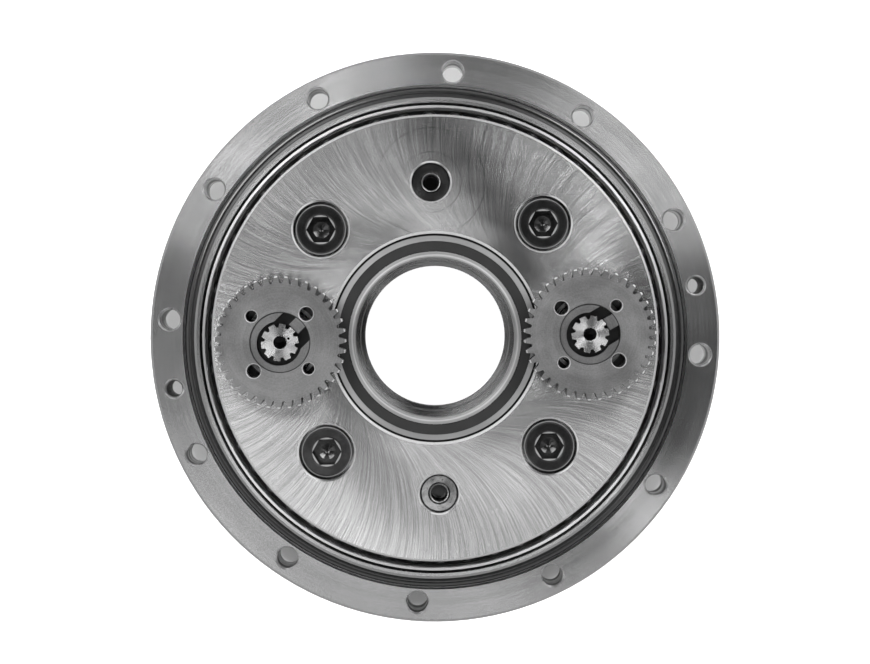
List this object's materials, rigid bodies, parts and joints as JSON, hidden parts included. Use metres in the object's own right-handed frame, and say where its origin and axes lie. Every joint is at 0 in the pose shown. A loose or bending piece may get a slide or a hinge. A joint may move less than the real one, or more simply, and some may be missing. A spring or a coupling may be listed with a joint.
{
  "type": "cycloidal reducer",
  "caption": "hollow-shaft cycloidal speed reducer: flanged case with ring pins, lobed discs on eccentric cranks, carrier on main bearings, splined spur gears on the input side",
  "frame": {"origin": "centre of the output face, on the main axis, at the base that the reducer stands on", "axes": "+Z along the main axis from the output face to the input gears; X through both crankshafts, +X to the right crank in the picture; Y completes the right-handed frame"},
  "size_m": [0.183, 0.183, 0.072],
  "materials": {
    "case_steel": "fine ground steel",
    "carrier_steel": "ground steel",
    "disc_steel": "ground steel",
    "bearing_steel": "polished steel",
    "cage_steel": "pressed steel",
    "crank_steel": "turned steel",
    "gear_steel": "matt hardened steel",
    "pin_steel": "ground steel",
    "spring_steel": "phosphated spring steel",
    "black_steel": "black oxide",
    "black_rubber": "matt black"
  },
  "bodies": {
    "case": {"case": "case_steel", "case_o_ring": "black_rubber", "output_oil_seal": "black_rubber", "ring_pins": "bearing_steel", "lower_main_bearing_outer_race": "bearing_steel", "upper_main_bearing_outer_race": "bearing_steel"},
    "carrier": {"hold_flange": "carrier_steel", "output_shaft": "carrier_steel", "carrier_screws": "black_steel", "dowel_pins": "pin_steel", "lower_main_bearing_inner_race": "bearing_steel", "upper_main_bearing_inner_race": "bearing_steel", "centre_bearing_outer_ring": "bearing_steel", "centre_bearing_seals": "black_rubber", "crank_bore_circlip_left": "spring_steel", "crank_bearing_left_lower_cup": "bearing_steel", "crank_bearing_left_upper_cup": "bearing_steel", "crank_bore_circlip_right": "spring_steel", "crank_bearing_right_lower_cup": "bearing_steel", "crank_bearing_right_upper_cup": "bearing_steel"},
    "crank_left": {"crankshaft_left": "crank_steel", "spur_gear_left": "gear_steel", "gear_clip_left": "gear_steel", "crank_bearing_left_lower_cone": "bearing_steel", "crank_bearing_left_upper_cone": "bearing_steel"},
    "crank_rollers_left_lower": {"crank_bearing_left_lower_rollers": "bearing_steel", "crank_bearing_left_lower_cage": "cage_steel"},
    "disc_needles_left_lower": {"needle_bearing_left_lower_needles": "bearing_steel", "needle_bearing_left_lower_cage": "cage_steel"},
    "crank_rollers_left_upper": {"crank_bearing_left_upper_rollers": "bearing_steel", "crank_bearing_left_upper_cage": "cage_steel"},
    "disc_needles_left_upper": {"needle_bearing_left_upper_needles": "bearing_steel", "needle_bearing_left_upper_cage": "cage_steel"},
    "crank_right": {"crankshaft_right": "crank_steel", "spur_gear_right": "gear_steel", "gear_clip_right": "gear_steel", "crank_bearing_right_lower_cone": "bearing_steel", "crank_bearing_right_upper_cone": "bearing_steel"},
    "crank_rollers_right_lower": {"crank_bearing_right_lower_rollers": "bearing_steel", "crank_bearing_right_lower_cage": "cage_steel"},
    "disc_needles_right_lower": {"needle_bearing_right_lower_needles": "bearing_steel", "needle_bearing_right_lower_cage": "cage_steel"},
    "crank_rollers_right_upper": {"crank_bearing_right_upper_rollers": "bearing_steel", "crank_bearing_right_upper_cage": "cage_steel"},
    "disc_needles_right_upper": {"needle_bearing_right_upper_needles": "bearing_steel", "needle_bearing_right_upper_cage": "cage_steel"},
    "disc_lower": {"cycloid_disc_lower": "disc_steel"},
    "main_balls_lower": {"lower_main_bearing_balls": "bearing_steel", "lower_main_bearing_cage": "cage_steel"},
    "disc_upper": {"cycloid_disc_upper": "disc_steel"},
    "main_balls_upper": {"upper_main_bearing_balls": "bearing_steel", "upper_main_bearing_cage": "cage_steel"},
    "centre_ring": {"centre_bearing_inner_ring": "bearing_steel"},
    "centre_balls": {"centre_bearing_balls": "bearing_steel", "centre_bearing_cage": "cage_steel"}
  },
  "joints": [
    {"name": "output_turn", "type": "hinge", "parent": "case", "child": "carrier", "pos_m": [0, 0, 0.03475], "axis": [0, 0, 1], "continuous": true},
    {"name": "crank_left_turn", "type": "hinge", "parent": "carrier", "child": "crank_left", "pos_m": [-0.048, 0, 0.03475], "axis": [0, 0, 1], "continuous": true},
    {"name": "crank_rollers_left_lower_turn", "type": "hinge", "parent": "carrier", "child": "crank_rollers_left_lower", "pos_m": [-0.048, 0, 0.0176], "axis": [0, 0, 1], "continuous": true},
    {"name": "disc_needles_left_lower_turn", "type": "hinge", "parent": "crank_left", "child": "disc_needles_left_lower", "pos_m": [-0.047, 0, 0.02915], "axis": [0, 0, 1], "continuous": true},
    {"name": "crank_rollers_left_upper_turn", "type": "hinge", "parent": "carrier", "child": "crank_rollers_left_upper", "pos_m": [-0.048, 0, 0.0519], "axis": [0, 0, 1], "continuous": true},
    {"name": "disc_needles_left_upper_turn", "type": "hinge", "parent": "crank_left", "child": "disc_needles_left_upper", "pos_m": [-0.049, 0, 0.04035], "axis": [0, 0, 1], "continuous": true},
    {"name": "crank_right_turn", "type": "hinge", "parent": "carrier", "child": "crank_right", "pos_m": [0.048, 0, 0.03475], "axis": [0, 0, 1], "continuous": true},
    {"name": "crank_rollers_right_lower_turn", "type": "hinge", "parent": "carrier", "child": "crank_rollers_right_lower", "pos_m": [0.048, 0, 0.0176], "axis": [0, 0, 1], "continuous": true},
    {"name": "disc_needles_right_lower_turn", "type": "hinge", "parent": "crank_right", "child": "disc_needles_right_lower", "pos_m": [0.049, 0, 0.02915], "axis": [0, 0, 1], "continuous": true},
    {"name": "crank_rollers_right_upper_turn", "type": "hinge", "parent": "carrier", "child": "crank_rollers_right_upper", "pos_m": [0.048, 0, 0.0519], "axis": [0, 0, 1], "continuous": true},
    {"name": "disc_needles_right_upper_turn", "type": "hinge", "parent": "crank_right", "child": "disc_needles_right_upper", "pos_m": [0.047, 0, 0.04035], "axis": [0, 0, 1], "continuous": true},
    {"name": "disc_lower_turn", "type": "hinge", "parent": "crank_left", "child": "disc_lower", "pos_m": [-0.047, 0, 0.02915], "axis": [0, 0, 1], "continuous": true},
    {"name": "main_balls_lower_turn", "type": "hinge", "parent": "case", "child": "main_balls_lower", "pos_m": [0, 0, 0.01675], "axis": [0, 0, 1], "continuous": true},
    {"name": "disc_upper_turn", "type": "hinge", "parent": "crank_left", "child": "disc_upper", "pos_m": [-0.049, 0, 0.04035], "axis": [0, 0, 1], "continuous": true},
    {"name": "main_balls_upper_turn", "type": "hinge", "parent": "case", "child": "main_balls_upper", "pos_m": [0, 0, 0.05275], "axis": [0, 0, 1], "continuous": true},
    {"name": "centre_ring_turn", "type": "hinge", "parent": "carrier", "child": "centre_ring", "pos_m": [0, 0, 0.0567], "axis": [0, 0, 1], "continuous": true},
    {"name": "centre_balls_turn", "type": "hinge", "parent": "carrier", "child": "centre_balls", "pos_m": [0, 0, 0.0567], "axis": [0, 0, 1], "continuous": true}
  ],
  "couplings": [
    {"joint": "crank_left_turn", "follows": "output_turn", "ratio": -52},
    {"joint": "crank_rollers_left_lower_turn", "follows": "output_turn", "ratio": -22.688},
    {"joint": "disc_needles_left_lower_turn", "follows": "output_turn", "ratio": 29.545},
    {"joint": "crank_rollers_left_upper_turn", "follows": "output_turn", "ratio": -22.688},
    {"joint": "disc_needles_left_upper_turn", "follows": "output_turn", "ratio": 29.545},
    {"joint": "crank_right_turn", "follows": "output_turn", "ratio": -52},
    {"joint": "crank_rollers_right_lower_turn", "follows": "output_turn", "ratio": -22.688},
    {"joint": "disc_needles_right_lower_turn", "follows": "output_turn", "ratio": 29.545},
    {"joint": "crank_rollers_right_upper_turn", "follows": "output_turn", "ratio": -22.688},
    {"joint": "disc_needles_right_upper_turn", "follows": "output_turn", "ratio": 29.545},
    {"joint": "disc_lower_turn", "follows": "output_turn", "ratio": 52},
    {"joint": "main_balls_lower_turn", "follows": "output_turn", "ratio": 0.48476},
    {"joint": "disc_upper_turn", "follows": "output_turn", "ratio": 52},
    {"joint": "main_balls_upper_turn", "follows": "output_turn", "ratio": 0.48476},
    {"joint": "centre_balls_turn", "follows": "centre_ring_turn", "ratio": 0.46522}
  ]
}
